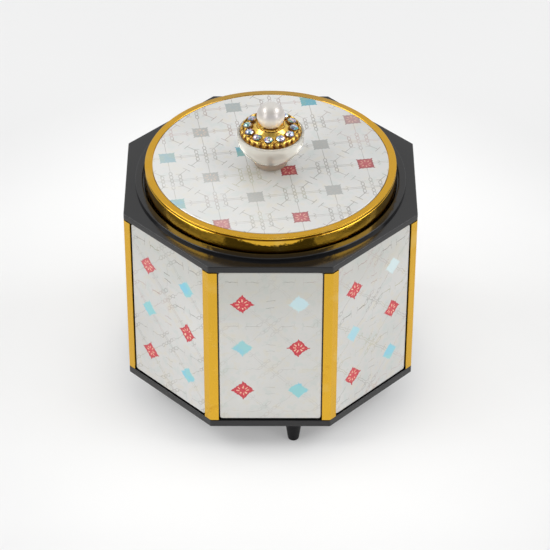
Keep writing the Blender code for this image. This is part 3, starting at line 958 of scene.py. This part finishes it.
screw_finish, place, shader = new_finish("brass_screw")
tarnish = place.cloud(900.0, 3.0).fade(0.4, 0.65)
wear(
    screw_finish,
    shader,
    Base_Color=tarnish.mix(BRASS, BRASS_TARNISHED),
    Metallic=0.6,
    Roughness=0.35 + 0.25 * tarnish,
)
profile = [(0.0, SCREW_LOW), (SCREW_RADIUS - 0.0002, SCREW_LOW), *SCREW_HEAD]
for thread in range(THREADS):
    height = THREAD_LOW + THREAD_STEP * thread
    profile += [(THREAD_RADII[0], height), (THREAD_RADII[1], height + THREAD_STEP / 2)]
profile += [(THREAD_RADII[0], SCREW_TOP - 0.0002), (0.0, SCREW_TOP)]
screw = lathed("knob_screw", profile, 48)
smoothed(screw)
screw.data.materials.append(screw_finish)
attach(screw, "root")


# Setting: a stamped and gilded crown let into the top of the knob, with a fluted wall, a channel of
# twelve cups for the stones and a beaded well for the pearl.
SETTING_LOW = 0.1143
FLARE = 0.1152
WALL_TOP = 0.1169
SETTING_RADIUS = 0.01215
WALL = 0.0115
LOBES = 28
LOBE_RADIUS = 0.00115
LOBE_RING = 0.0108
CHANNEL_OUTER = 0.01095
CHANNEL_INNER = 0.0072
CHANNEL_SLOPE = math.radians(12)
WELL = 0.0047
WELL_RIM = 0.1189
WELL_FLOOR = 0.1169
BEAD_RADIUS = 0.00029
STONE_RING = 0.009075
STONES = 12
STONE_TURN = math.radians(-5.4)
BEADS = 58
CUP_RADIUS = 0.00187
SOLDER = 0.00185
BEAD_RING = 0.0054
CUP_WIRE = 0.00022
PRONG_RING = 0.0101
PRONG_RADIUS = 0.00042
LOBE_ROUNDING = 0.0006
LOBE_SLOT = (0.112, 0.122)
SETTING_FOOT = 0.0118
GILT = (0.87, 0.58, 0.12, 1.0)
GILT_GRIME_AND_SHADE = (0.24, 0.10, 0.03, 1.0)

setting_finish, place, shader = new_finish("gold_setting")
across, back, height = place.xyz()
# Painted shade darkens the gilt toward the foot of the wall, round the stone seats, between the beads of the
# well and in the grooves between the lobes; the speckled grime is dirt.
grime = place.cloud(1100.0, 4.0).fade(0.44, 0.60)
painted_toward_foot = height.fade(WALL_TOP, FLARE + 0.0002)
radius = (across ** 2.0 + back ** 2.0) ** 0.5
round_about = height.sum("ARCTAN2", across, 0.0 - back)
groove = 1 - 2 * abs((round_about * (LOBES / (2 * math.pi))) % 1.0 - 0.5)
groove = groove.fade(0.45, 0.85) * radius.fade(0.0106, 0.0110)
turn = ((round_about - STONE_TURN) * (STONES / (2 * math.pi)) + 0.5) % 1.0 - 0.5
beside = (turn * (2 * math.pi / STONES)) * radius
to_stone = (beside * beside + (radius - STONE_RING) ** 2.0) ** 0.5
seat = abs(to_stone - SOLDER).fade(0.00028, 0.00012)
between_beads = abs(radius - BEAD_RING).fade(0.00042, 0.00030)
between_beads = between_beads * height.fade(WELL_RIM - 0.00005, WELL_RIM - 0.00014)
shade = 0.8 * seat + 0.9 * between_beads + 0.7 * groove
wear(
    setting_finish,
    shader,
    Base_Color=(grime * 0.4 + painted_toward_foot * 0.45 + shade).mix(GILT, GILT_GRIME_AND_SHADE),
    Metallic=1.0,
    Roughness=0.10 + 0.25 * grime,
)


def channel(radius):
    """The height of the sloping floor under the stones."""
    return WALL_TOP - 0.0006 + (CHANNEL_OUTER - radius) * math.tan(CHANNEL_SLOPE)


setting = lathed(
    "crown",
    [(0.0, WELL_FLOOR), (WELL - 0.0002, WELL_FLOOR), (WELL, WELL_RIM - 0.0003)]
    + [(WELL + 0.00015, WELL_RIM - 0.0001), (WELL + 0.0007, WELL_RIM - 0.0002)]
    + [(WELL + 0.0010, WELL_RIM - 0.0005), (CHANNEL_INNER, channel(CHANNEL_INNER) + 0.00015)]
    + [(CHANNEL_INNER + 0.0003, channel(CHANNEL_INNER)), (CHANNEL_OUTER, channel(CHANNEL_OUTER))]
    + [(CHANNEL_OUTER, WALL_TOP - 0.0001), (CHANNEL_OUTER + 0.0001, WALL_TOP)]
    + [(WALL - 0.00015, WALL_TOP), (WALL, WALL_TOP - 0.00015), (WALL, FLARE + 0.0002)]
    + [(SETTING_RADIUS, FLARE), (SETTING_FOOT, FLARE - 0.0004)]
    + [(SETTING_FOOT, SETTING_LOW), (0.0, SETTING_LOW)],
    192,
)
lobe = lathed(
    "lobe",
    [(0.0, FLARE + 0.0001), (LOBE_RADIUS, FLARE + 0.0001), (LOBE_RADIUS, WALL_TOP - 0.0007)]
    + arc((LOBE_RADIUS - LOBE_ROUNDING, WALL_TOP - 0.00065), LOBE_ROUNDING, 0, 90, 4)
    + [(0.0, WALL_TOP - 0.00005)],
    24,
)
lobe_slot = lathed(
    "lobe_slot",
    [(0.0, LOBE_SLOT[0]), (CHANNEL_OUTER + 0.0003, LOBE_SLOT[0])]
    + [(CHANNEL_OUTER + 0.0003, LOBE_SLOT[1]), (0.0, LOBE_SLOT[1])],
    192,
)
all_off()
bpy.ops.mesh.primitive_torus_add(
    major_segments=40,
    minor_segments=10,
    major_radius=CUP_RADIUS,
    minor_radius=CUP_WIRE,
    location=(0.0, -STONE_RING, channel(STONE_RING) + 0.00035),
    rotation=(CHANNEL_SLOPE, 0.0, 0.0),
)
cup = true_up(bpy.context.object, "cup")
all_off()
bpy.ops.mesh.primitive_uv_sphere_add(
    segments=12, ring_count=8, radius=BEAD_RADIUS, location=(0.0, -WELL - 0.0007, WELL_RIM - 0.0002)
)
bead = true_up(bpy.context.object, "bead")
all_off()
bpy.ops.mesh.primitive_uv_sphere_add(
    segments=12,
    ring_count=8,
    radius=PRONG_RADIUS,
    location=(0.0, -PRONG_RING, channel(PRONG_RING) + 0.0003),
)
prong = true_up(bpy.context.object, "prong")


def all_round(tool, count, turn=0.0):
    """Copies of the tool all the way round the upright axis, joined in one piece."""
    copies = [copied(tool, "part", turn + number * 2 * math.pi / count) for number in range(count)]
    bpy.data.objects.remove(tool)
    into_hand(copies[0])
    for copy in copies:
        copy.select_set(True)
    bpy.ops.object.join()
    return bpy.context.object


lobe.matrix_world = Matrix.Translation(Vector((0.0, -LOBE_RING, 0.0)))
scallops = worked(all_round(true_up(lobe, "lobe"), LOBES), lobe_slot, "DIFFERENCE")
worked(setting, scallops, "UNION")
worked(setting, all_round(cup, STONES, STONE_TURN), "UNION")
worked(setting, all_round(prong, STONES, STONE_TURN + math.pi / STONES), "UNION")
worked(setting, all_round(bead, BEADS), "UNION")
smoothed(setting, 40)
fitted(setting, setting_finish, "gold_setting", "knob_setting")


# Stones: twelve small cut crystals with a flat top, eight facets and a rainbow coat, glued into their
# cups and leaning outwards.
STONE_RADIUS = 0.00175
STONE_LIFT = 0.0005
STONE_DARK = (0.05, 0.05, 0.09, 1.0)

stone_finish, place, shader = new_finish("rhinestone")
fire = place.cloud(300.0, 1.0, shift=(0.03, 0.01, 0.02)) + 0.4 * (place.cloud(900.0, 1.0) - 0.5)
spark = place.cloud(1300.0, 1.0, shift=(0.02, 0.04, 0.0)).fade(0.44, 0.56)
rainbow = place.node(
    "ShaderNodeValToRGB",
    {
        "stops": (
            (0.30, (0.10, 0.55, 0.60, 1.0)),
            (0.40, (0.80, 0.90, 0.90, 1.0)),
            (0.46, (0.30, 0.45, 0.80, 1.0)),
            (0.52, (0.85, 0.50, 0.70, 1.0)),
            (0.58, (0.90, 0.88, 0.72, 1.0)),
            (0.66, (0.20, 0.55, 0.50, 1.0)),
        )
    },
    {0: fire},
)
wear(
    stone_finish,
    shader,
    Base_Color=(0.35 + 0.65 * spark).mix(STONE_DARK, rainbow),
    Metallic=0.75,
    Roughness=0.04 + 0.04 * fire,
    Coat_Weight=1.0,
    Coat_Roughness=0.02,
)
stone = lathed(
    "stone",
    [(0.0, 0.00105), (0.00085, 0.00105), (0.00135, 0.00078), (STONE_RADIUS, 0.00040)]
    + [(STONE_RADIUS - 0.00003, 0.00032), (0.0012, 0.0), (0.0, 0.0)],
    8,
)
seat = Vector((0.0, -STONE_RING, channel(STONE_RING) + STONE_LIFT / math.cos(CHANNEL_SLOPE)))
for number in range(STONES):
    turn = STONE_TURN + number * 2 * math.pi / STONES
    into_hand(stone)
    bpy.ops.object.duplicate()
    cut = bpy.context.object
    cut.matrix_world = (
        Matrix.Rotation(turn, 4, "Z")
        @ Matrix.Translation(seat)
        @ Matrix.Rotation(CHANNEL_SLOPE, 4, "X")
    )
    true_up(cut, "stone_%d" % (number + 1))
    fitted(cut, stone_finish, "rhinestone", "rhinestone_%d" % (number + 1))
bpy.data.objects.remove(stone)


# Pearl: one imitation pearl, a glass ball dipped in lacquer with a soft lustre, glued into the well
# of the setting.
PEARL_RADIUS = 0.0055
PEARL_HEIGHT = 0.1227
PEARL_MIDDLE = (0.50, 0.465, 0.43, 1.0)
PEARL_LUSTRE = (0.48, 0.45, 0.44, 1.0)
PEARL_PAINTED_TOP_LIGHT = (0.60, 0.57, 0.53, 1.0)
PEARL_PAINTED_GOLD_REFLECTION = (1.0, 0.91, 0.75, 1.0)

pearl_finish, place, shader = new_finish("pearl")
lustre = place.cloud(240.0, 3.0)
height = place.xyz()[2] - PEARL_HEIGHT
# Painted reflection: the underside turns warm and bright, as if it caught the gilt setting below.
under = height.fade(0.0026, -0.0016)
colour = lustre.fade(0.35, 0.65).mix(PEARL_MIDDLE, PEARL_LUSTRE)
# Painted light: the top of the pearl is lighter.
colour = height.fade(0.0034, 0.0052).mix(colour, PEARL_PAINTED_TOP_LIGHT)
wear(
    pearl_finish,
    shader,
    Base_Color=under.mix(colour, PEARL_PAINTED_GOLD_REFLECTION),
    Metallic=0.38,
    Roughness=0.36 + 0.06 * lustre,
    Coat_Weight=1.0,
    Coat_Roughness=0.20,
)
all_off()
bpy.ops.mesh.primitive_uv_sphere_add(
    segments=96, ring_count=48, radius=PEARL_RADIUS, location=(0.0, 0.0, PEARL_HEIGHT)
)
pearl = true_up(bpy.context.object, "pearl_ball")
smoothed(pearl, 60)
fitted(pearl, pearl_finish, "pearl", "pearl")


all_off()
